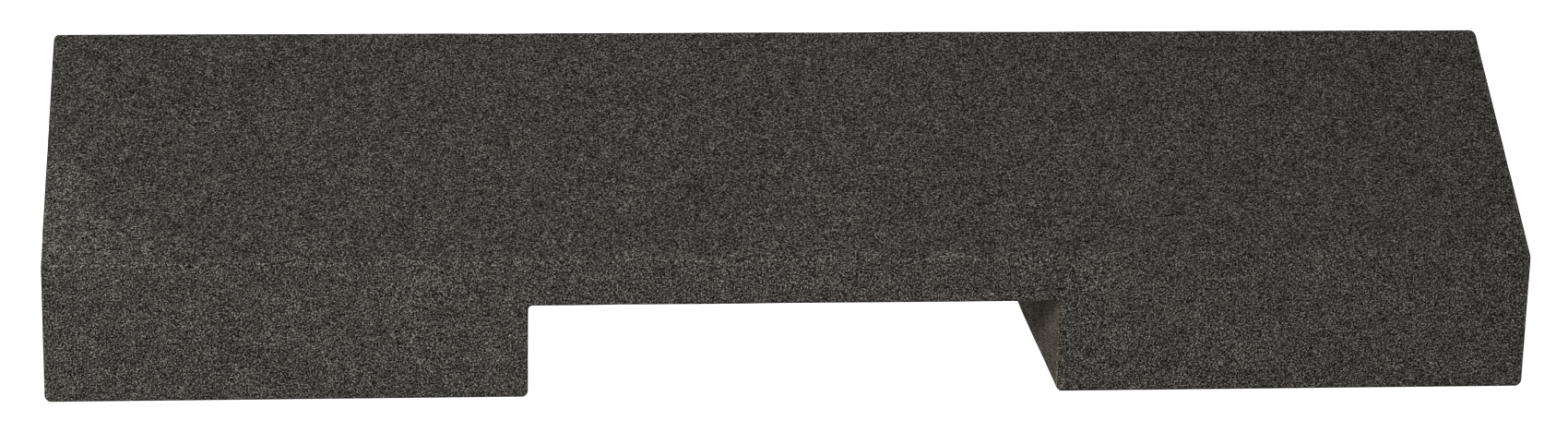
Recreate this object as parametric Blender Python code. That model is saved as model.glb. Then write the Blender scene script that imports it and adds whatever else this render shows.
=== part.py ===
"""Dual 10-inch behind-the-seat truck loudspeaker enclosure, carpeted, sold empty.

Metres, +Z up.  +X runs along the width, -Y is the low upright front, +Y the
baffle with the driver cut-outs.  The origin is the bottom centre of the box.
"""
import math

import bmesh
import bpy
from mathutils import Vector
from mathutils.geometry import tessellate_polygon

# ------------------------------------------------------------------ sizes (mm)
WIDTH = 1500.0          # overall, over the carpet
DEPTH = 282.0
HEIGHT = 305.0          # rear edge, before it is rounded
FRONT_H = 143.5         # upright front face
NOTCH_W = 538.0         # clear width of the tunnel
NOTCH_H = 96.0          # clear height of the tunnel
BOARD = 16.0            # 5/8 in MDF
PILE = 3.0              # carpet thickness
GLUE = 0.3              # bond line between touching pieces
FOLD_R = 4.0            # carpet fold radius
CUTOUT_D = 232.0        # 10 in driver cut-out
CUTOUT_X = 509.5
CUTOUT_Z = 147.0
CUP_X = 336.0           # terminal cups, beside the tunnel
CUP_Z = 60.0
CUP_HOLE_W = 50.0
CUP_HOLE_H = 44.0
FLANGE_W = 66.0
FLANGE_H = 60.0
SCREW_DX = 28.4
SCREW_DZ = 25.4
PIN_R = 1.2
LEVER_X = 8.6           # lever centres, either side of the cup's centre
PIVOT_V = 9.5           # lever pivot above the cup's centre
PIVOT_W = -12.5         # lever pivot behind the board face

HW, HD = WIDTH / 2, DEPTH / 2
SLOPE = (HEIGHT - FRONT_H) / DEPTH
COS = 1.0 / math.sqrt(1.0 + SLOPE * SLOPE)
SKIN = PILE + GLUE                  # outside to board face
INNER = SKIN + BOARD                # outside to inner board face
FACE_Y = HD - SKIN                  # outer face of the baffle board
NX = NOTCH_W / 2
MM = 0.001


def top_z(y, off):
    """Height of the sloping plane, moved in by off, at depth y."""
    return FRONT_H + (y + HD) * SLOPE - off / COS


# ------------------------------------------------------------------- clean up
for ob in list(bpy.data.objects):
    bpy.data.objects.remove(ob, do_unlink=True)
scene = bpy.context.scene
scene.unit_settings.system = "METRIC"


# ------------------------------------------------------------------ materials
def material(name, colour, rough, metal=0.0):
    m = bpy.data.materials.new(name)
    m.use_nodes = True
    p = m.node_tree.nodes["Principled BSDF"]
    p.inputs["Base Color"].default_value = (*colour, 1.0)
    p.inputs["Roughness"].default_value = rough
    p.inputs["Metallic"].default_value = metal
    m.diffuse_color = (*colour, 1.0)
    return m


MAT = {
    "carpet": material("charcoal_carpet", (0.052, 0.048, 0.043), 0.95),
    "mdf": material("mdf_board", (0.42, 0.28, 0.16), 0.8),
    "plastic": material("black_plastic", (0.02, 0.02, 0.021), 0.45),
    "foam": material("foam_gasket", (0.035, 0.035, 0.036), 0.9),
    "red": material("red_plastic", (0.55, 0.02, 0.015), 0.4),
    "black": material("lever_black_plastic", (0.012, 0.012, 0.013), 0.4),
    "brass": material("tinned_brass", (0.62, 0.56, 0.42), 0.35, 1.0),
    "spring": material("spring_steel", (0.5, 0.5, 0.5), 0.35, 1.0),
    "screw": material("black_steel_screw", (0.03, 0.03, 0.032), 0.4, 1.0),
}


# -------------------------------------------------------------------- helpers
def frame_of(axis):
    if axis == "X":
        return lambda p, q, s: (s, p, q)
    if axis == "Y":
        return lambda p, q, s: (p, s, q)
    return lambda p, q, s: (p, q, s)


def prism_into(bm, outer, a, b, axis, holes=()):
    """Straight solid from a flat outline (mm) with holes, from a to b along axis."""
    put = frame_of(axis)
    loops = [list(outer)] + [list(h) for h in holes]
    lo, hi = [], []
    for loop in loops:
        lo.append([bm.verts.new(Vector(put(p, q, a)) * MM) for p, q in loop])
        hi.append([bm.verts.new(Vector(put(p, q, b)) * MM) for p, q in loop])
    if holes:
        flat_lo = [v for l in lo for v in l]
        flat_hi = [v for l in hi for v in l]
        tris = tessellate_polygon([[Vector((p, q, 0.0)) for p, q in l] for l in loops])
        for t in tris:
            bm.faces.new([flat_lo[i] for i in t])
            bm.faces.new([flat_hi[i] for i in reversed(t)])
    else:
        bm.faces.new(lo[0])
        bm.faces.new(list(reversed(hi[0])))
    for l, h in zip(lo, hi):
        n = len(l)
        for i in range(n):
            j = (i + 1) % n
            bm.faces.new((l[i], l[j], h[j], h[i]))


def finish_mesh(bm, name, mat, smooth=False, angle=35.0):
    bmesh.ops.recalc_face_normals(bm, faces=bm.faces[:])
    me = bpy.data.meshes.new(name)
    bm.to_mesh(me)
    bm.free()
    ob = bpy.data.objects.new(name, me)
    scene.collection.objects.link(ob)
    me.materials.append(MAT[mat])
    if smooth:
        shade(ob, angle)
    return ob


def shade(ob, angle=35.0):
    me = ob.data
    for p in me.polygons:
        p.use_smooth = True
    me.set_sharp_from_angle(angle=math.radians(angle))


def prism(name, mat, outer, a, b, axis, holes=(), smooth=False):
    bm = bmesh.new()
    prism_into(bm, outer, a, b, axis, holes)
    return finish_mesh(bm, name, mat, smooth)


def rect(p0, p1, q0, q1):
    return [(p0, q0), (p1, q0), (p1, q1), (p0, q1)]


def round_rect(cp, cq, w, h, r, n=4):
    pts = []
    for sx, sy, a0 in ((1, -1, -90), (1, 1, 0), (-1, 1, 90), (-1, -1, 180)):
        ox, oy = cp + sx * (w / 2 - r), cq + sy * (h / 2 - r)
        for i in range(n + 1):
            t = math.radians(a0 + 90.0 * i / n)
            pts.append((ox + r * math.cos(t), oy + r * math.sin(t)))
    return pts


def circle(cp, cq, r, n):
    return [(cp + r * math.cos(2 * math.pi * (i + 0.5) / n),
             cq + r * math.sin(2 * math.pi * (i + 0.5) / n)) for i in range(n)]


def fillet(pts, radii, n=4):
    """Round the corners of an open or closed outline; radii per point (0 = keep)."""
    out = []
    m = len(pts)
    for i, (p, r) in enumerate(zip(pts, radii)):
        if r <= 0:
            out.append(p)
            continue
        c = Vector(p)
        a = (Vector(pts[(i - 1) % m]) - c).normalized()
        b = (Vector(pts[(i + 1) % m]) - c).normalized()
        half = a.angle(b) / 2
        d = r / math.tan(half)
        centre = c + (a + b).normalized() * (r / math.sin(half))
        s, e = c + a * d - centre, c + b * d - centre
        ang = s.angle(e)
        turn = 1 if s.x * e.y - s.y * e.x > 0 else -1
        a0 = math.atan2(s.y, s.x)
        for k in range(n + 1):
            t = a0 + turn * ang * k / n
            out.append((centre.x + r * math.cos(t), centre.y + r * math.sin(t)))
    return out


def boolean(target, cutters, op="DIFFERENCE"):
    """Bake an exact boolean into the target and drop the cutters."""
    for c in cutters:
        md = target.modifiers.new("cut", "BOOLEAN")
        md.operation = op
        md.solver = "EXACT"
        md.object = c
    dg = bpy.context.evaluated_depsgraph_get()
    dg.update()
    me = bpy.data.meshes.new_from_object(target.evaluated_get(dg))
    old = target.data
    target.modifiers.clear()
    target.data = me
    me.name = target.name
    bpy.data.meshes.remove(old)
    for c in cutters:
        cm = c.data
        bpy.data.objects.remove(c, do_unlink=True)
        bpy.data.meshes.remove(cm)
    while len(me.materials) > 1:
        me.materials.pop(index=len(me.materials) - 1)
    for p in me.polygons:
        p.material_index = 0
    return target


def soften(ob, width, segments=2, angle=50.0):
    """Bake a small edge bevel (mm)."""
    md = ob.modifiers.new("edge", "BEVEL")
    md.width = width * MM
    md.segments = segments
    md.limit_method = "ANGLE"
    md.angle_limit = math.radians(angle)
    md.use_clamp_overlap = True
    dg = bpy.context.evaluated_depsgraph_get()
    dg.update()
    me = bpy.data.meshes.new_from_object(ob.evaluated_get(dg))
    old = ob.data
    ob.modifiers.clear()
    ob.data = me
    me.name = ob.name
    bpy.data.meshes.remove(old)
    return ob


def join_into(ob, others):
    boolean(ob, others, "UNION")
    return ob


# ------------------------------------------------------------- carpet: pieces
def section(off, back=None):
    """Closed outline of the box section in (Y, Z), moved in by off."""
    b = HD - off
    return [(-b, off), (-b, top_z(-b, off)), (b, top_z(b, off)), (b, off)]


def wrap_outline():
    """The one long sheet: front, slope and baffle, seen from the end."""
    o = [(-HD, GLUE), (-HD, FRONT_H), (HD, HEIGHT), (HD, GLUE)]
    i = PILE
    inner = [(HD - i, GLUE), (HD - i, top_z(HD - i, i)), (-HD + i, top_z(-HD + i, i)), (-HD + i, GLUE)]
    return fillet(o + inner, [0, FOLD_R, FOLD_R, 0, 0, 0, 0, 0], 4)


wrap = prism("carpet_wrap", "carpet", wrap_outline(), -(HW - SKIN), HW - SKIN, "X")
cuts = [prism("cut_notch", "carpet", rect(-NX, NX, -20.0, NOTCH_H), -HD - 20, HD + 20, "Y")]
for s in (-1, 1):
    cuts.append(prism("cut_driver", "carpet", circle(s * CUTOUT_X, CUTOUT_Z, CUTOUT_D / 2, 64),
                      HD - 12, HD + 12, "Y"))
    cuts.append(prism("cut_cup", "carpet",
                      round_rect(s * CUP_X, CUP_Z, FLANGE_W + 0.8, FLANGE_H + 0.8, 5.4),
                      HD - 12, HD + 12, "Y"))
boolean(wrap, cuts)
shade(wrap, 30)

for s, side in ((-1, "left"), (1, "right")):
    x0, x1 = sorted((s * (HW - PILE), s * HW))
    out = [(-HD, GLUE), (-HD, FRONT_H), (HD, HEIGHT), (HD, GLUE)]
    prism("carpet_end_" + side, "carpet", fillet(out, [0, FOLD_R, FOLD_R, 0]), x0, x1, "X", smooth=True)
    x0, x1 = sorted((s * NX, s * (HW - SKIN)))
    prism("carpet_bottom_" + side, "carpet", rect(x0, x1, -(HD - SKIN), HD - SKIN), 0.0, PILE, "Z")

# lining of the tunnel: two walls and the roof in one bent strip
liner = [(-NX, SKIN), (-NX, NOTCH_H), (NX, NOTCH_H), (NX, SKIN),
         (NX + PILE, SKIN), (NX + PILE, NOTCH_H + PILE), (-NX - PILE, NOTCH_H + PILE), (-NX - PILE, SKIN)]
prism("carpet_tunnel", "carpet", liner, -(HD - SKIN), HD - SKIN, "Y")

# --------------------------------------------------------------- board panels
BX = HW - SKIN - BOARD - GLUE       # half length of the boards between the ends
NB = NX + SKIN                      # board face of the tunnel walls
NT = NOTCH_H + SKIN                 # board face of the tunnel roof
SEAT = INNER + GLUE

top = [(-(HD - SKIN), top_z(-(HD - SKIN), SKIN)), (HD - SKIN, top_z(HD - SKIN, SKIN)),
       (HD - SKIN, top_z(HD - SKIN, INNER)), (-(HD - SKIN), top_z(-(HD - SKIN), INNER))]
prism("top_panel", "mdf", top, -BX, BX, "X")


def upright(name, y_out, y_in, cutters):
    """Front or baffle board: bevelled along the slope at its top, notched below."""
    pts = [(y_out, SKIN), (y_out, top_z(y_out, SEAT)), (y_in, top_z(y_in, SEAT)), (y_in, SKIN)]
    ob = prism(name, "mdf", pts, -BX, BX, "X")
    notch = prism("cut_notch", "mdf", rect(-NB, NB, -20.0, NT), -HD - 20, HD + 20, "Y")
    return boolean(ob, [notch] + cutters)


upright("front_panel", -(HD - SKIN), -(HD - INNER), [])
cuts = []
for s in (-1, 1):
    cuts.append(prism("cut_driver", "mdf", circle(s * CUTOUT_X, CUTOUT_Z, CUTOUT_D / 2, 64),
                      FACE_Y - 30, FACE_Y + 12, "Y"))
    cuts.append(prism("cut_cup", "mdf", round_rect(s * CUP_X, CUP_Z, CUP_HOLE_W, CUP_HOLE_H, 3.0),
                      FACE_Y - 30, FACE_Y + 12, "Y"))
    for dx in (-SCREW_DX, SCREW_DX):
        for dz in (-SCREW_DZ, SCREW_DZ):
            cuts.append(prism("cut_pilot", "mdf", circle(s * CUP_X + dx, CUP_Z + dz, 1.75, 12),
                              FACE_Y - 13.5, FACE_Y + 12, "Y"))
upright("baffle_panel", HD - SKIN, HD - INNER, cuts)
shade(bpy.data.objects["baffle_panel"], 30)

IY = HD - INNER - GLUE              # half depth between front and baffle
for s, side in ((-1, "left"), (1, "right")):
    x0, x1 = sorted((s * (HW - SKIN - BOARD), s * (HW - SKIN)))
    prism("end_panel_" + side, "mdf", section(SKIN), x0, x1, "X")
    x0, x1 = sorted((s * NB, s * BX))
    prism("bottom_panel_" + side, "mdf", rect(x0, x1, -IY, IY), SKIN, INNER, "Z")
    x0, x1 = sorted((s * NB, s * (NB + BOARD)))
    prism("tunnel_wall_" + side, "mdf", rect(x0, x1, -IY, IY), INNER + GLUE, NT - GLUE, "Z")
prism("tunnel_roof", "mdf", rect(-NB - BOARD, NB + BOARD, -IY, IY), NT, NT + BOARD, "Z")
prism("centre_divider", "mdf",
      [(-IY, NT + BOARD + GLUE), (-IY, top_z(-IY, SEAT)), (IY, top_z(IY, SEAT)), (IY, NT + BOARD + GLUE)],
      -BOARD / 2, BOARD / 2, "X")


# -------------------------------------------------------------- terminal cups
def cup_parts(s, side):
    cx, cz = s * CUP_X, CUP_Z
    W0 = FACE_Y

    def box(name, mat, u0, u1, v0, v1, w0, w1):
        return prism(name, mat, rect(cx + u0, cx + u1, cz + v0, cz + v1), W0 + w0, W0 + w1, "Y")

    def side_prism(name, mat, pts_wv, u0, u1, smooth=False, holes=()):
        """Outline in (w, v), drawn out along X."""
        return prism(name, mat, [(W0 + w, cz + v) for w, v in pts_wv], cx + u0, cx + u1, "X",
                     holes=[[(W0 + w, cz + v) for w, v in h] for h in holes], smooth=smooth)

    screws = [(dx, dz) for dx in (-SCREW_DX, SCREW_DX) for dz in (-SCREW_DZ, SCREW_DZ)]

    # foam gasket under the flange
    prism("cup_gasket_" + side, "foam",
          round_rect(cx, cz, FLANGE_W - 1.0, FLANGE_H - 1.0, 4.5),
          W0 + 0.15, W0 + 0.95, "Y",
          holes=[round_rect(cx, cz, CUP_HOLE_W - 0.4, CUP_HOLE_H - 0.4, 3.0)]
          + [circle(cx + dx, cz + dz, 2.0, 16) for dx, dz in screws])

    # housing: flange, tray, floor and three bearing cheeks in one moulding
    cup = prism("terminal_cup_" + side, "plastic", round_rect(cx, cz, FLANGE_W, FLANGE_H, 5.0, 6),
                W0 + 1.1, W0 + 3.1, "Y")
    tray = prism("tray", "plastic", round_rect(cx, cz, 48.0, 42.0, 2.5), W0 - 24.0, W0 + 2.0, "Y")
    join_into(cup, [tray])
    well = prism("well", "plastic", round_rect(cx, cz, 43.6, 37.6, 2.0), W0 - 21.6, W0 + 9.0, "Y")
    boolean(cup, [well])
    cheeks = []
    for u0, u1 in ((-18.4, -15.9), (-1.25, 1.25), (15.9, 18.4)):
        cheeks.append(side_prism("cheek", "plastic",
                                 [(-22.5, -7.0), (-17.0, -7.0), (-9.4, 7.0), (-8.6, 9.5), (-9.4, 12.0),
                                  (-12.0, 13.4), (-22.5, 13.4)], u0, u1))
    join_into(cup, cheeks)
    soften(cup, 0.35, 1, 55)
    holes = []
    for u0, u1 in ((-17.4, -14.0), (-3.0, 3.0), (14.0, 17.4)):
        holes.append(side_prism("bearing", "plastic",
                                [(PIVOT_W + p, PIVOT_V + q) for p, q in circle(0, 0, PIN_R + 0.09, 24)],
                                u0, u1))
    for dx, dz in screws:
        bm = bmesh.new()
        n = 20
        rings = [(-5.0, 1.75), (W0 + 1.9, 1.75), (W0 + 3.1, 3.05), (W0 + 6.0, 3.05)]
        rings[0] = (W0 - 5.0, 1.75)
        loops = []
        for y, r in rings:
            loops.append([bm.verts.new(Vector((cx + dx + r * math.cos(2 * math.pi * i / n), y,
                                               cz + dz + r * math.sin(2 * math.pi * i / n))) * MM)
                          for i in range(n)])
        for a, b in zip(loops, loops[1:]):
            for i in range(n):
                bm.faces.new((a[i], a[(i + 1) % n], b[(i + 1) % n], b[i]))
        bm.faces.new(loops[0])
        bm.faces.new(list(reversed(loops[-1])))
        holes.append(finish_mesh(bm, "sink", "plastic"))
    # contact slots through the floor
    for u in (-LEVER_X, LEVER_X):
        holes.append(box("slot", "plastic", u - 3.3, u + 3.3, -13.0, -11.8, -30.0, -18.0))
    boolean(cup, holes)
    shade(cup, 30)

    # the four screws that hold the flange down
    n = 16
    for k, (dx, dz) in enumerate(screws):
        bm = bmesh.new()
        prof = [(W0 - 12.8, 0.25), (W0 - 11.0, 1.35), (W0 + 1.75, 1.35), (W0 + 2.98, 2.75)]
        loops = []
        for y, r in prof:
            loops.append([bm.verts.new(Vector((cx + dx + r * math.cos(2 * math.pi * i / n), y,
                                               cz + dz + r * math.sin(2 * math.pi * i / n))) * MM)
                          for i in range(n)])
        for a, b in zip(loops, loops[1:]):
            for i in range(n):
                bm.faces.new((a[i], a[(i + 1) % n], b[(i + 1) % n], b[i]))
        bm.faces.new(loops[0])
        # flat head with a cross recess 0.9 mm deep
        yh = W0 + 2.98
        cross = []
        for q in range(4):
            t = math.pi / 2 * q
            for a_, r_ in ((-0.26, 1.65), (0.26, 1.65), (math.pi / 4, 0.55)):
                cross.append((r_ * math.cos(t + a_), r_ * math.sin(t + a_)))
        top_ring = [bm.verts.new(Vector((cx + dx + p, yh, cz + dz + q)) * MM) for p, q in cross]
        low_ring = [bm.verts.new(Vector((cx + dx + p * 0.6, yh - 0.95, cz + dz + q * 0.6)) * MM)
                    for p, q in cross]
        rim = [(2.75 * math.cos(2 * math.pi * i / n), 2.75 * math.sin(2 * math.pi * i / n))
               for i in range(n)]
        verts = loops[-1] + top_ring
        for t in tessellate_polygon([[Vector((p, q, 0)) for p, q in rim],
                                     [Vector((p, q, 0)) for p, q in cross]]):
            bm.faces.new([verts[i] for i in t])
        m = len(cross)
        for i in range(m):
            j = (i + 1) % m
            bm.faces.new((top_ring[i], top_ring[j], low_ring[j], low_ring[i]))
        bm.faces.new(low_ring)
        finish_mesh(bm, "cup_screw_%s_%d" % (side, k + 1), "screw", smooth=True, angle=30)

    # push levers, their leaf springs and the contact blades
    for u, tag, mat in ((-LEVER_X, "red", "red"), (LEVER_X, "black", "black")):
        # outline in (w, v) around the pivot: hub, arm out and down, thumb pad
        pw, pv = PIVOT_W, PIVOT_V
        arm = [(-3.2, 0.6), (-2.6, 2.6), (0.2, 3.3), (2.8, 2.4), (4.2, 0.4), (12.4, -10.4),
               (12.9, -12.6), (11.4, -14.0), (9.2, -13.4), (0.6, -4.4), (-2.2, -2.4)]
        arm = [(pw + a, pv + b) for a, b in arm]
        arm = fillet(arm, [1.2, 1.2, 1.2, 1.2, 1.2, 1.0, 0.9, 0.9, 1.0, 1.5, 1.2], 2)
        lever = side_prism("lever_%s_%s" % (tag, side), mat, arm, u - 6.4, u + 6.4)
        soften(lever, 0.4, 2, 60)
        pin = side_prism("pin", mat, [(pw + a, pv + b) for a, b in circle(0, 0, PIN_R, 24)],
                         u - 8.3, u + 8.3)
        join_into(lever, [pin])
        grooves = []
        d = Vector((8.2, -10.8)).normalized()
        nrm = Vector((-d.y, d.x))
        for k in range(4):
            c = Vector((pw + 12.4, pv - 10.4)) - d * (1.6 + 2.0 * k) + nrm * 0.55
            q = [c + d * 0.45 + nrm * 0.9, c - d * 0.45 + nrm * 0.9,
                 c - d * 0.45 - nrm * 0.9, c + d * 0.45 - nrm * 0.9]
            grooves.append(side_prism("groove", mat, [(p.x, p.y) for p in q], u - 5.0, u + 5.0))
        boolean(lever, grooves)
        shade(lever, 30)

        # leaf spring: strip from the floor up to the underside of the arm
        t = 0.5
        c_line = [(-21.3, -8.0), (-21.3, 2.2), (-20.6, 3.6), (-18.8, 4.0), (-9.0, 1.3)]
        strip = []
        for i, p in enumerate(c_line):
            a = Vector(c_line[max(i - 1, 0)])
            b = Vector(c_line[min(i + 1, len(c_line) - 1)])
            dd = (b - a).normalized()
            nn = Vector((-dd.y, dd.x))
            strip.append((Vector(p) + nn * t / 2, Vector(p) - nn * t / 2))
        outline = [tuple(a) for a, _ in strip] + [tuple(b) for _, b in reversed(strip)]
        side_prism("lever_spring_%s_%s" % (tag, side), "spring", outline, u - 3.0, u + 3.0)

        # contact: upright blade in the well, through the floor, flat tab at the back
        blade = box("contact_%s_%s" % (tag, side), "brass", u - 3.15, u + 3.15, -12.8, -12.0, -33.0, -11.5)
        foot = box("foot", "brass", u - 5.0, u + 5.0, -12.8, -12.0, -21.3, -20.5)
        join_into(blade, [foot])
        hole = prism("eye", "brass", circle(cx + u, W0 - 30.0, 1.0, 12), cz - 16.0, cz - 8.0, "Z")
        wire = prism("wire", "brass", circle(cx + u, W0 - 15.0, 1.6, 16), cz - 16.0, cz - 8.0, "Z")
        boolean(blade, [hole, wire])
        shade(blade, 30)


cup_parts(-1, "left")
cup_parts(1, "right")

# ---------------------------------------------------------- tree for the joints
root = bpy.data.objects.new("enclosure", None)
scene.collection.objects.link(root)
for ob in list(scene.objects):
    if ob is root:
        continue
    if ob.name.startswith("lever_red") or ob.name.startswith("lever_black"):
        side = -1 if ob.name.endswith("left") else 1
        u = -LEVER_X if "red" in ob.name else LEVER_X
        origin = Vector((side * CUP_X + u, FACE_Y + PIVOT_W, CUP_Z + PIVOT_V)) * MM
        for v in ob.data.vertices:
            v.co -= origin
        ob.location = origin
    ob.parent = root
bpy.context.view_layer.update()
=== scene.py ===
import math

import bmesh
import bpy
from mathutils import Matrix, Vector, noise


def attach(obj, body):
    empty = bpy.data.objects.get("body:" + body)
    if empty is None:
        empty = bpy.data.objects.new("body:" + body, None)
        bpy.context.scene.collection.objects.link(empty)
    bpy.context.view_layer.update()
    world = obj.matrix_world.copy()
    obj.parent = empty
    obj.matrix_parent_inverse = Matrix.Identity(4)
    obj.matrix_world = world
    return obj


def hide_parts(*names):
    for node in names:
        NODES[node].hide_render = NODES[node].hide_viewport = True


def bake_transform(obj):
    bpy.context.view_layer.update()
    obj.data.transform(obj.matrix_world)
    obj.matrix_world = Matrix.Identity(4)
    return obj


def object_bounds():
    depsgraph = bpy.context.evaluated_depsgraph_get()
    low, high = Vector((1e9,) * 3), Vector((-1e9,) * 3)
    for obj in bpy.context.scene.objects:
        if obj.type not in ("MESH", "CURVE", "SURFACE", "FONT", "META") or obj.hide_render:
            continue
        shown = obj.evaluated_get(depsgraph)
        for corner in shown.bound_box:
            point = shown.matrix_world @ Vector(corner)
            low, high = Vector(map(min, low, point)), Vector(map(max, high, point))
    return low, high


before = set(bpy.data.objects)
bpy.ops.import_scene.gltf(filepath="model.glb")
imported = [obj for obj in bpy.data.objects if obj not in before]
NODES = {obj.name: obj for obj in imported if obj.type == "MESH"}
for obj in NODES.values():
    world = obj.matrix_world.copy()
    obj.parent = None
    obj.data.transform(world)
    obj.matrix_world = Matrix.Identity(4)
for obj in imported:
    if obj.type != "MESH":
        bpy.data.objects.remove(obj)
CAD_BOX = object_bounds()


def corners(b):
    """The low and high corner of a box, however it is given, as plain lists."""
    lo, hi = b[0], b[1]
    return [[float(x) for x in lo], [float(x) for x in hi]]


LO, HI = corners(CAD_BOX)

# --------------------------------------------------------------- dimensions (m)
HW = (HI[0] - LO[0]) / 2
HD = (HI[1] - LO[1]) / 2
FRONT_H = 0.1435
REAR_H = 0.305
NX = 0.269
NX_RIGHT = 0.2665         # nudged 2.5 mm in, only so that the rounded edge meets the outline
NH = 0.096
PILE = 0.003
EDGE = 0.0050
CUT_X, CUT_Z, CUT_R = 0.5095, 0.147, 0.116
CUP_X, CUP_Z = 0.336, 0.060

# ---------------------------------------------------------------------- camera
F_PX, YAW, PITCH, ROLL = 4816.16, math.radians(5.723), math.radians(17.362), math.radians(1.299)
fwd = Vector((math.sin(YAW) * math.cos(PITCH), math.cos(YAW) * math.cos(PITCH), -math.sin(PITCH)))
rgt = Vector((math.cos(YAW), -math.sin(YAW), 0.0))
up = rgt.cross(fwd)
r2 = math.cos(ROLL) * rgt + math.sin(ROLL) * up
u2 = -math.sin(ROLL) * rgt + math.cos(ROLL) * up
cam = bpy.data.objects.new("camera", bpy.data.cameras.new("camera"))
bpy.context.scene.collection.objects.link(cam)
cam.data.sensor_fit = "HORIZONTAL"
cam.data.sensor_width = 36.0
cam.data.lens = F_PX / 1700.0 * 36.0
cam.data.clip_start, cam.data.clip_end = 0.1, 100.0
cam.matrix_world = Matrix((
    (r2.x, u2.x, -fwd.x, -0.4366),
    (r2.y, u2.y, -fwd.y, -4.3472),
    (r2.z, u2.z, -fwd.z, 1.5104),
    (0, 0, 0, 1)))
bpy.context.scene.camera = cam

scene = bpy.context.scene
scene.view_settings.view_transform = "Standard"
scene.view_settings.look = "None"
scene.view_settings.exposure = 0.0
scene.view_settings.gamma = 1.0


# ------------------------------------------------------------------ node helper
class Tree:
    """A material's nodes, written as expressions."""

    def __init__(self, name):
        self.mat = bpy.data.materials.new(name)
        self.mat.use_nodes = True
        self.nt = self.mat.node_tree
        self.nt.nodes.clear()
        self.out = self.nt.nodes.new("ShaderNodeOutputMaterial")
        self.bsdf = self.nt.nodes.new("ShaderNodeBsdfPrincipled")
        self.nt.links.new(self.bsdf.outputs[0], self.out.inputs[0])
        self.coord = self.nt.nodes.new("ShaderNodeTexCoord").outputs["Object"]

    def set(self, **values):
        for k, v in values.items():
            self.bsdf.inputs[k.replace("_", " ")].default_value = v

    def put(self, socket, value):
        if isinstance(value, bpy.types.NodeSocket):
            self.nt.links.new(value, socket)
        else:
            socket.default_value = value

    def mapping(self, rot=(0, 0, 0), scale=(1, 1, 1), loc=(0, 0, 0), vec=None):
        n = self.nt.nodes.new("ShaderNodeMapping")
        self.put(n.inputs["Vector"], vec or self.coord)
        n.inputs["Rotation"].default_value = rot
        n.inputs["Scale"].default_value = scale
        n.inputs["Location"].default_value = loc
        return n.outputs[0]

    def noise(self, scale, detail=2.0, rough=0.5, dist=0.0, vec=None, out=0):
        n = self.nt.nodes.new("ShaderNodeTexNoise")
        self.put(n.inputs["Vector"], vec or self.coord)
        n.inputs["Scale"].default_value = scale
        n.inputs["Detail"].default_value = detail
        n.inputs["Roughness"].default_value = rough
        n.inputs["Distortion"].default_value = dist
        return n.outputs[out]

    def voronoi(self, scale, feature="F1", out="Distance", vec=None, rand=1.0):
        n = self.nt.nodes.new("ShaderNodeTexVoronoi")
        n.feature = feature
        self.put(n.inputs["Vector"], vec or self.coord)
        n.inputs["Scale"].default_value = scale
        n.inputs["Randomness"].default_value = rand
        return n.outputs[out]

    def ramp(self, value, stops, mode="LINEAR"):
        n = self.nt.nodes.new("ShaderNodeValToRGB")
        self.put(n.inputs[0], value)
        n.color_ramp.interpolation = mode
        els = n.color_ramp.elements
        while len(els) < len(stops):
            els.new(0.5)
        for e, (p, c) in zip(els, stops):
            e.position = p
            e.color = (c, c, c, 1) if isinstance(c, (int, float)) else (*c, 1)
        return n.outputs[0]

    def span(self, value, a, b, lo=0.0, hi=1.0, smooth=True):
        n = self.nt.nodes.new("ShaderNodeMapRange")
        n.interpolation_type = "SMOOTHSTEP" if smooth else "LINEAR"
        self.put(n.inputs["Value"], value)
        for k, v in (("From Min", a), ("From Max", b), ("To Min", lo), ("To Max", hi)):
            n.inputs[k].default_value = v
        return n.outputs[0]

    def math(self, op, a, b=0.0, c=0.0):
        n = self.nt.nodes.new("ShaderNodeMath")
        n.operation = op
        for s, v in zip(n.inputs, (a, b, c)):
            self.put(s, v)
        return n.outputs[0]

    def mix(self, fac, a, b, mode="MIX"):
        n = self.nt.nodes.new("ShaderNodeMix")
        n.data_type = "RGBA"
        n.blend_type = mode
        self.put(n.inputs[0], fac)
        for s, v in ((n.inputs[6], a), (n.inputs[7], b)):
            self.put(s, (*v, 1) if isinstance(v, tuple) and len(v) == 3 else v)
        return n.outputs[2]

    def xyz(self, vec=None):
        n = self.nt.nodes.new("ShaderNodeSeparateXYZ")
        self.put(n.inputs[0], vec or self.coord)
        return n.outputs

    def bump(self, height, strength, distance, normal=None):
        n = self.nt.nodes.new("ShaderNodeBump")
        n.inputs["Strength"].default_value = strength
        n.inputs["Distance"].default_value = distance
        self.put(n.inputs["Height"], height)
        if normal is not None:
            self.put(n.inputs["Normal"], normal)
        return n.outputs[0]


# -------------------------------------------------------------------- materials
# strengths of the painted highlights along the front fold and near the left end
FOLD_HIGHLIGHT, LEFT_END_HIGHLIGHT = 0.10, 0.30


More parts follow.
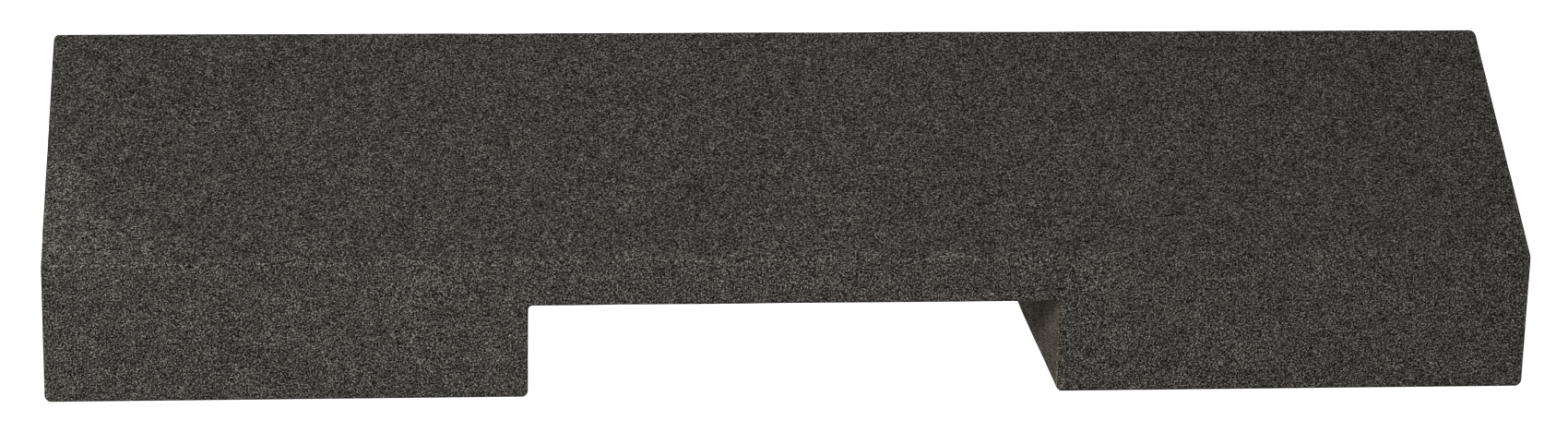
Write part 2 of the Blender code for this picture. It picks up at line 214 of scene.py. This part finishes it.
def carpet(name, gain=1.0, tint=(1.0, 1.0, 1.0), painted_highlights=True, fuzz=0.03):
    """Needle-punched charcoal fibre: dark matted ground, grey and tan fibres lying every way."""
    t = Tree(name)
    ground = t.noise(640.0, 1.0, 0.5, 0.6)
    fine = t.noise(1500.0, 1.0, 0.5, 0.5)
    base = t.math("ADD", t.math("MULTIPLY", ground, 0.85), t.math("MULTIPLY", fine, 0.15))
    colour = t.ramp(base, [(0.360, (0.0024, 0.0022, 0.0019)), (0.445, (0.0068, 0.0063, 0.0054)),
                           (0.508, (0.0235, 0.0222, 0.0192)), (0.562, (0.0960, 0.0910, 0.0795)),
                           (0.626, (0.3400, 0.3230, 0.2870))])
    height = base
    for k, (rot, off) in enumerate((((0.3, 0.2, 0.5), 0.0), ((0.9, -0.5, 1.9), 3.1), ((-0.6, 0.8, -0.7), 7.7))):
        v = t.mapping(rot=rot, scale=(260.0, 1000.0, 1000.0), loc=(off, off, off))
        f = t.noise(1.0, 1.0, 0.5, 1.0, vec=v)
        m = t.span(f, 0.600, 0.690)
        shade = ((0.165, 0.157, 0.143), (0.150, 0.130, 0.103), (0.200, 0.194, 0.183))[k]
        colour = t.mix(t.math("MULTIPLY", m, 0.60), colour, shade)
        height = t.math("ADD", height, t.math("MULTIPLY", m, 0.30))
    tuft = t.noise(85.0, 2.0, 0.5, 0.4)
    mottle = t.noise(24.0, 2.0, 0.5, 0.3)
    level = t.math("MULTIPLY", t.span(tuft, 0.30, 0.70, 0.80, 1.20, False),
                   t.span(mottle, 0.30, 0.70, 0.91, 1.09, False))
    level = t.math("MULTIPLY", level, gain)
    if painted_highlights:
        # painted highlight: the carpet's colour is lightened in a thin band along the front fold and in a triangle
        # of the slope near the left end, standing in for the light that the raised pile there catches
        x, y, z = t.xyz()
        near = t.math("ABSOLUTE", t.math("SUBTRACT", z, FRONT_H + 0.0006))
        fold_highlight = t.math("MULTIPLY", t.span(near, 0.0016, 0.0060, 1.0, 0.0), t.span(x, -0.66, -0.58))
        fold_highlight = t.math("MULTIPLY", fold_highlight, t.span(y, -HD + 0.006, -HD + 0.012, 1.0, 0.0))
        level = t.math("MULTIPLY", level, t.math("MULTIPLY_ADD", fold_highlight, FOLD_HIGHLIGHT, 1.0))
        # painted highlight: a triangle of the slope next to the left end is lightened, standing in for the light
        # that the pile lying the other way there catches
        far = t.math("MULTIPLY_ADD", t.math("ADD", x, 0.612), -0.681,
                     t.math("MULTIPLY", t.math("ADD", y, HD), -0.732))
        far = t.math("MULTIPLY_ADD", t.math("SUBTRACT", mottle, 0.5), 0.10, far)
        left_end_highlight = t.math("MULTIPLY", t.span(far, -0.016, 0.020), t.span(z, FRONT_H - 0.004, FRONT_H + 0.004))
        level = t.math("MULTIPLY", level, t.math("MULTIPLY_ADD", left_end_highlight, LEFT_END_HIGHLIGHT, 1.0))
    n = t.nt.nodes.new("ShaderNodeVectorMath")
    n.operation = "SCALE"
    t.put(n.inputs[0], colour)
    t.put(n.inputs["Scale"], level)
    colour = t.mix(1.0, n.outputs[0], tint, "MULTIPLY")
    # a few loose tan fibres caught in the pile
    lint = t.voronoi(9.0, vec=t.mapping(rot=(0.2, 0.4, 0.9), scale=(1.0, 1.6, 1.6)))
    colour = t.mix(t.span(lint, 0.0090, 0.0120, 1.0, 0.0), colour, (0.55, 0.27, 0.07))
    t.put(t.bsdf.inputs["Base Color"], colour)
    t.put(t.bsdf.inputs["Normal"], t.bump(height, 0.7, 0.0007))
    t.set(Roughness=1.0, Specular_IOR_Level=0.08, Sheen_Weight=fuzz, Sheen_Roughness=0.6)
    t.bsdf.inputs["Sheen Tint"].default_value = (0.8, 0.74, 0.66, 1)
    return t.mat


def mdf():
    t = Tree("mdf")
    fine = t.noise(900.0, 3.0, 0.7)
    fibre = t.noise(1.0, 2.0, 0.6, 0.5, vec=t.mapping(scale=(90.0, 420.0, 420.0), rot=(0.2, 0.1, 0.3)))
    cloud = t.noise(9.0, 3.0, 0.5)
    c = t.ramp(fine, [(0.30, (0.270, 0.168, 0.088)), (0.52, (0.430, 0.290, 0.165)), (0.72, (0.560, 0.405, 0.250))])
    c = t.mix(t.span(fibre, 0.55, 0.72, 0.0, 0.35), c, (0.24, 0.145, 0.075))
    c = t.mix(t.span(cloud, 0.35, 0.7, 0.0, 0.22), c, (0.33, 0.215, 0.125))
    t.put(t.bsdf.inputs["Base Color"], c)
    t.put(t.bsdf.inputs["Roughness"], t.span(fine, 0.3, 0.7, 0.72, 0.88))
    t.put(t.bsdf.inputs["Normal"], t.bump(fine, 0.35, 0.0003))
    t.set(Specular_IOR_Level=0.3)
    return t.mat


def plastic(name, colour, rough, grain=1400.0, depth=0.00006, level=0.5, coat=0.0):
    t = Tree(name)
    g = t.noise(grain, 3.0, 0.6)
    s = t.noise(60.0, 3.0, 0.6)
    lo = tuple(x * 0.82 for x in colour)
    hi = tuple(min(1.0, x * 1.15 + 0.002) for x in colour)
    t.put(t.bsdf.inputs["Base Color"], t.ramp(s, [(0.3, lo), (0.7, hi)]))
    t.put(t.bsdf.inputs["Roughness"], t.span(g, 0.3, 0.7, rough - 0.06, rough + 0.08))
    t.put(t.bsdf.inputs["Normal"], t.bump(g, 0.5, depth))
    t.set(Specular_IOR_Level=level, Coat_Weight=coat, Coat_Roughness=0.15)
    return t.mat


def metal(name, colour, rough, stretch=(200.0, 2500.0, 2500.0)):
    t = Tree(name)
    b = t.noise(1.0, 2.0, 0.6, vec=t.mapping(scale=stretch))
    s = t.noise(180.0, 3.0, 0.6)
    dull = tuple(x * 0.72 for x in colour)
    t.put(t.bsdf.inputs["Base Color"], t.ramp(s, [(0.35, dull), (0.6, colour)]))
    t.put(t.bsdf.inputs["Roughness"], t.span(b, 0.3, 0.7, rough - 0.08, rough + 0.12))
    t.put(t.bsdf.inputs["Normal"], t.bump(b, 0.3, 0.00003))
    t.set(Metallic=1.0)
    return t.mat


def foam():
    t = Tree("gasket_foam")
    v = t.voronoi(1500.0)
    t.put(t.bsdf.inputs["Base Color"], t.ramp(v, [(0.0, (0.012, 0.012, 0.012)), (0.6, (0.045, 0.045, 0.046))]))
    t.put(t.bsdf.inputs["Normal"], t.bump(v, 0.6, 0.0002))
    t.set(Roughness=0.9, Specular_IOR_Level=0.2)
    return t.mat


M_CARPET = carpet("charcoal_carpet")
# a lit copy of the carpet for the tunnel lining: 2.35 times brighter and tinted warm brown, painted light standing
# in for the warm bounce light on the tunnel walls
M_TUNNEL_PAINTED_LIGHT = carpet("charcoal_carpet_tunnel_painted_light", gain=2.35, tint=(1.07, 0.970, 0.86), painted_highlights=False, fuzz=0.05)
M_MDF = mdf()
M_CUP = plastic("cup_plastic", (0.017, 0.017, 0.018), 0.5)
M_RED = plastic("lever_red", (0.52, 0.018, 0.014), 0.32, 600.0, 0.00002, 0.5, 0.15)
M_BLACK = plastic("lever_black", (0.012, 0.012, 0.013), 0.34, 600.0, 0.00002, 0.5, 0.15)
M_FOAM = foam()
M_SPRING = metal("spring_steel", (0.56, 0.56, 0.57), 0.3)
M_BRASS = metal("tinned_brass", (0.66, 0.60, 0.46), 0.32)
M_SCREW = metal("black_screw", (0.06, 0.06, 0.063), 0.4)


def dress(node, mat):
    o = NODES[node]
    if not o.data.materials:
        o.data.materials.append(mat)
    for i in range(len(o.data.materials)):
        o.data.materials[i] = mat


for n in NODES:
    if n.endswith("_panel") or "panel_" in n or n.startswith(("tunnel_wall", "tunnel_roof", "centre_divider")):
        dress(n, M_MDF)
    elif n.startswith("terminal_cup"):
        dress(n, M_CUP)
    elif n.startswith("cup_gasket"):
        dress(n, M_FOAM)
    elif n.startswith("cup_screw"):
        dress(n, M_SCREW)
    elif n.startswith("lever_spring"):
        dress(n, M_SPRING)
    elif n.startswith("lever_red"):
        dress(n, M_RED)
    elif n.startswith("lever_black"):
        dress(n, M_BLACK)
    elif n.startswith("contact"):
        dress(n, M_BRASS)


# ----------------------------------------------------------------- carpet skins
# corner radii of the outline, from the left end round below to the right end
R_END_L, R_LEG_L, R_ROOF, R_LEG_R, R_END_R = 0.0065, 0.0060, 0.0040, 0.0055, 0.0070
R_TOP_L, R_TOP_R = 0.0056, 0.0078


def outline(top):
    """The front seen square on, with its corners rounded, as (x, z)."""
    pts = [(-HW, 0), (-NX, 0), (-NX, NH), (NX_RIGHT, NH), (NX_RIGHT, 0), (HW, 0), (HW, top), (-HW, top)]
    radii = [R_END_L, R_LEG_L, R_ROOF, R_ROOF, R_LEG_R, R_END_R, R_TOP_R, R_TOP_L]
    out = []
    for i, (p, r) in enumerate(zip(pts, radii)):
        c = Vector(p)
        a = (Vector(pts[i - 1]) - c).normalized()
        b = (Vector(pts[(i + 1) % 8]) - c).normalized()
        mid = c + (a + b) * r
        s, e = c + a * r - mid, c + b * r - mid
        a0 = math.atan2(s.y, s.x)
        turn = 1 if s.x * e.y - s.y * e.x > 0 else -1
        for k in range(7):
            t = a0 + turn * math.pi / 2 * k / 6
            out.append((mid.x + r * math.cos(t), mid.y + r * math.sin(t)))
    return out


def outer_shell():
    """The carpeted outside of the whole box as one rounded shell."""
    bm = bmesh.new()
    f = [bm.verts.new((x, -HD, z)) for x, z in outline(FRONT_H)]
    b = [bm.verts.new((x, HD, z)) for x, z in outline(REAR_H)]
    front = bm.faces.new(f)
    back = bm.faces.new(list(reversed(b)))
    for i in range(len(f)):
        j = (i + 1) % len(f)
        bm.faces.new((f[j], f[i], b[i], b[j]))
    bmesh.ops.recalc_face_normals(bm, faces=bm.faces[:])
    rim = list(front.edges) + list(back.edges)
    bmesh.ops.bevel(bm, geom=rim, offset=EDGE, offset_type="OFFSET", segments=5,
                    profile=0.5, affect="EDGES", clamp_overlap=True)
    bmesh.ops.remove_doubles(bm, verts=bm.verts[:], dist=1e-6)
    bmesh.ops.recalc_face_normals(bm, faces=bm.faces[:])
    return bm


def kind_of(face):
    c, n = face.calc_center_median(), face.normal
    e = 0.0002
    inside_y = abs(c.y) < HD - EDGE - e
    if not inside_y and not abs(n.x) > 0.999:
        return "wrap"
    side = "left" if c.x < 0 else "right"
    if inside_y and n.z < -0.999 and c.z < e:
        return "bottom_" + side
    if inside_y and abs(c.x) < NX + R_LEG_R + e and c.z < NH + e:
        return "tunnel"
    if abs(c.x) > HW - e and abs(n.x) > 0.999:
        return "end_" + side
    if inside_y and abs(c.x) > HW - R_END_R - e and c.z < R_END_R + e:
        return "end_" + side
    return "wrap"


def wave(p, n):
    """Very slight unevenness of glued carpet, in metres."""
    q = Vector(p)
    a = noise.noise(q * 9.0 + Vector((3.1, 0.7, 5.2)))
    b = noise.noise(q * 34.0 + Vector((11.3, 4.4, 1.9)))
    return 0.00042 * a + 0.00022 * b


def skin(name, bm_src, kinds):
    bm = bm_src.copy()
    drop = [f for f, k in zip(bm.faces, kinds) if k != name]
    bmesh.ops.delete(bm, geom=drop, context="FACES")
    me = bpy.data.meshes.new("skin_" + name)
    bm.to_mesh(me)
    bm.free()
    ob = bpy.data.objects.new("skin_" + name, me)
    scene.collection.objects.link(ob)
    return ob


def bake_modifiers(ob):
    dg = bpy.context.evaluated_depsgraph_get()
    dg.update()
    me = bpy.data.meshes.new_from_object(ob.evaluated_get(dg))
    old = ob.data
    ob.modifiers.clear()
    ob.data = me
    me.name = ob.name
    bpy.data.meshes.remove(old)


def thicken(ob):
    md = ob.modifiers.new("thick", "SOLIDIFY")
    md.thickness = PILE - 0.0002
    md.offset = -1.0
    md.use_even_offset = True
    md.use_rim = True
    bv = ob.modifiers.new("cut_edge", "BEVEL")
    bv.width = 0.0008
    bv.segments = 2
    bv.limit_method = "ANGLE"
    bv.angle_limit = math.radians(62)
    bake_modifiers(ob)


shell = outer_shell()
# a grid over the flat faces, so that the surface can be slightly uneven
for k in range(1, 60):
    x = -HW + 2 * HW * k / 60.0
    bmesh.ops.bisect_plane(shell, geom=shell.verts[:] + shell.edges[:] + shell.faces[:], dist=1e-6,
                           plane_co=(x, 0, 0), plane_no=(1, 0, 0))
for k in range(1, 12):
    y = -HD + 2 * HD * k / 12.0
    bmesh.ops.bisect_plane(shell, geom=shell.verts[:] + shell.edges[:] + shell.faces[:], dist=1e-6,
                           plane_co=(0, y, 0), plane_no=(0, 1, 0))
for k in range(1, 12):
    z = REAR_H * k / 12.0
    bmesh.ops.bisect_plane(shell, geom=shell.verts[:] + shell.edges[:] + shell.faces[:], dist=1e-6,
                           plane_co=(0, 0, z), plane_no=(0, 0, 1))


def round_upright(bm, x0, y0, wide, tall):
    """Round the upright corner at (x0, y0) in plan, widest at the floor and back to EDGE at the roof."""
    for off in (0.0065, 0.0080, 0.0100):
        for co, no in (((x0 + off, 0, 0), (1, 0, 0)), ((0, y0 + off, 0), (0, 1, 0))):
            near = [f for f in bm.faces if abs(f.calc_center_median().x - x0) < 0.05
                    and abs(f.calc_center_median().y - y0) < 0.05 and f.calc_center_median().z < tall]
            geom = list({e for f in near for e in f.edges}) + near + list({v for f in near for v in f.verts})
            bmesh.ops.bisect_plane(bm, geom=geom, dist=1e-6, plane_co=co, plane_no=no)
    for v in bm.verts:
        dx, dy = v.co.x - x0, v.co.y - y0
        k = min(1.0, max(0.0, (tall - v.co.z) / (tall * 0.6)))
        r = EDGE + (wide - EDGE) * k * k * (3 - 2 * k)
        if -1e-4 < dx < r and -1e-4 < dy < r and v.co.z < tall:
            q = Vector((r - dx, r - dy))
            if q.length > r:
                q *= r / q.length
                v.co.x, v.co.y = x0 + r - q.x, y0 + r - q.y


round_upright(shell, NX_RIGHT, -HD, 0.0095, 0.090)
shell.normal_update()
moves = [(v, v.normal * (wave(v.co, v.normal) - 0.0003)) for v in shell.verts]
kinds = [kind_of(f) for f in shell.faces]
for v, d in moves:
    if v.co.z > 0.0005:
        v.co += d
shell.normal_update()

FLAT = {"wrap": (2 * HW, 0.768), "tunnel": (2 * HD, 0.73), "bottom_left": (0.470, 0.271),
        "bottom_right": (0.470, 0.271), "end_left": (0.271, 0.297), "end_right": (0.271, 0.297)}
skins = {}
for name in FLAT:
    skins[name] = skin(name, shell, kinds)
    thicken(skins[name])
shell.free()


def cutter_cylinder(x, z, r, n=96):
    bm = bmesh.new()
    bmesh.ops.create_cone(bm, cap_ends=True, segments=n, radius1=r, radius2=r, depth=0.03)
    bmesh.ops.rotate(bm, verts=bm.verts[:], cent=(0, 0, 0), matrix=Matrix.Rotation(math.pi / 2, 3, "X"))
    bmesh.ops.translate(bm, verts=bm.verts[:], vec=(x, HD, z))
    return bm


def cutter_plate(x, z, w, h, r, n=6):
    bm = bmesh.new()
    pts = []
    for sx, sy, a0 in ((1, -1, -90), (1, 1, 0), (-1, 1, 90), (-1, -1, 180)):
        for i in range(n + 1):
            t = math.radians(a0 + 90.0 * i / n)
            pts.append((x + sx * (w / 2 - r) + r * math.cos(t), z + sy * (h / 2 - r) + r * math.sin(t)))
    a = [bm.verts.new((p, HD - 0.015, q)) for p, q in pts]
    b = [bm.verts.new((p, HD + 0.015, q)) for p, q in pts]
    bm.faces.new(a)
    bm.faces.new(list(reversed(b)))
    for i in range(len(a)):
        j = (i + 1) % len(a)
        bm.faces.new((a[i], b[i], b[j], a[j]))
    bmesh.ops.recalc_face_normals(bm, faces=bm.faces[:])
    return bm


wrap = skins["wrap"]
tools = []
for s in (-1, 1):
    for bm in (cutter_cylinder(s * CUT_X, CUT_Z, CUT_R), cutter_plate(s * CUP_X, CUP_Z, 0.0668, 0.0608, 0.0054)):
        me = bpy.data.meshes.new("tool")
        bm.to_mesh(me)
        bm.free()
        o = bpy.data.objects.new("tool", me)
        scene.collection.objects.link(o)
        tools.append(o)
        md = wrap.modifiers.new("hole", "BOOLEAN")
        md.operation, md.solver, md.object = "DIFFERENCE", "EXACT", o
bake_modifiers(wrap)
for o in tools:
    m = o.data
    bpy.data.objects.remove(o, do_unlink=True)
    bpy.data.meshes.remove(m)

for name, ob in skins.items():
    me = ob.data
    me.materials.clear()
    me.materials.append(M_TUNNEL_PAINTED_LIGHT if name == "tunnel" else M_CARPET)
    for p in me.polygons:
        p.use_smooth = True
        p.material_index = 0
    me.set_sharp_from_angle(angle=math.radians(38))
    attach(ob, "enclosure")
    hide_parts("carpet_" + name)

# ------------------------------------------------------- leaf springs under the levers
def bending_leaf(node):
    """The leaf spring copied out of the CAD part and cut across at 13 places near its tip; the CAD part is hidden.
    """
    src = NODES[node]
    me = src.data.copy()
    me.transform(src.matrix_world)
    ob = bpy.data.objects.new("leaf_" + node, me)
    scene.collection.objects.link(ob)
    bm = bmesh.new()
    bm.from_mesh(me)
    tip = max(v.co.y for v in bm.verts)
    for k in range(1, 14):
        bmesh.ops.bisect_plane(bm, geom=bm.verts[:] + bm.edges[:] + bm.faces[:], dist=1e-7,
                               plane_co=(0, tip - 0.0098 * k / 14.0, 0), plane_no=(0, 1, 0))
    bm.to_mesh(me)
    bm.free()
    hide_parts(node)
    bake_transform(ob)


for side in ("left", "right"):
    for tag in ("red", "black"):
        bending_leaf("lever_spring_%s_%s" % (tag, side))

# ------------------------------------------------------------------------ stage
def quad(name, size, z):
    bm = bmesh.new()
    bmesh.ops.create_grid(bm, x_segments=2, y_segments=2, size=size)
    bmesh.ops.translate(bm, verts=bm.verts[:], vec=(0, 0, z))
    me = bpy.data.meshes.new(name)
    bm.to_mesh(me)
    bm.free()
    o = bpy.data.objects.new(name, me)
    scene.collection.objects.link(o)
    return o


floor = quad("floor", 14.0, -0.0006)
t = Tree("pale_floor")
t.set(Base_Color=(0.93, 0.93, 0.93, 1), Roughness=0.9, Specular_IOR_Level=0.0,
      Emission_Color=(1, 1, 1, 1), Emission_Strength=0.95)
floor.data.materials.append(t.mat)
floor.visible_diffuse = False
floor.visible_glossy = False
bounce = quad("bounce_sheet", 4.0, -0.0009)
t = Tree("bounce_sheet")
t.set(Base_Color=(0.86, 0.85, 0.83, 1), Roughness=1.0, Specular_IOR_Level=0.0)
bounce.data.materials.append(t.mat)
bounce.visible_camera = False


def area_light(name, loc, target, size, power, colour=(1, 1, 1)):
    d = bpy.data.lights.new(name, "AREA")
    d.shape = "RECTANGLE"
    d.size, d.size_y = size
    d.energy = power
    d.color = colour
    o = bpy.data.objects.new(name, d)
    scene.collection.objects.link(o)
    o.visible_camera = False
    o.location = loc
    o.rotation_euler = (Vector(target) - Vector(loc)).to_track_quat("-Z", "Y").to_euler()
    return o


P_KEY, P_LOW, P_TOP, P_WORLD = 77.0, 36.5, 7.0, 0.035
area_light("key", (-1.60, -3.60, 2.20), (-0.05, 0.0, 0.12), (0.8, 0.8), P_KEY, (1.0, 0.99, 0.97))
area_light("low", (-0.50, -3.00, 0.36), (-0.10, 0.0, 0.12), (1.3, 0.6), P_LOW, (1.0, 0.99, 0.97))
area_light("top", (-0.10, 0.9, 1.9), (0.0, 0.0, 0.2), (2.6, 0.5), P_TOP)
area_light("rear", (0.3, 3.2, 1.72), (0.0, 0.0, 0.12), (2.0, 0.5), 58.0)
area_light("side_left", (-3.2, 0.12, 0.24), (-0.7, 0.0, 0.12), (0.5, 0.3), 22.0)
area_light("side_right", (3.2, 0.12, 0.24), (0.7, 0.0, 0.12), (0.5, 0.3), 22.0)
world = bpy.data.worlds.new("studio")
scene.world = world
world.use_nodes = True
bg = world.node_tree.nodes["Background"]
bg.inputs[0].default_value = (1, 1, 1, 1)
bg.inputs[1].default_value = P_WORLD
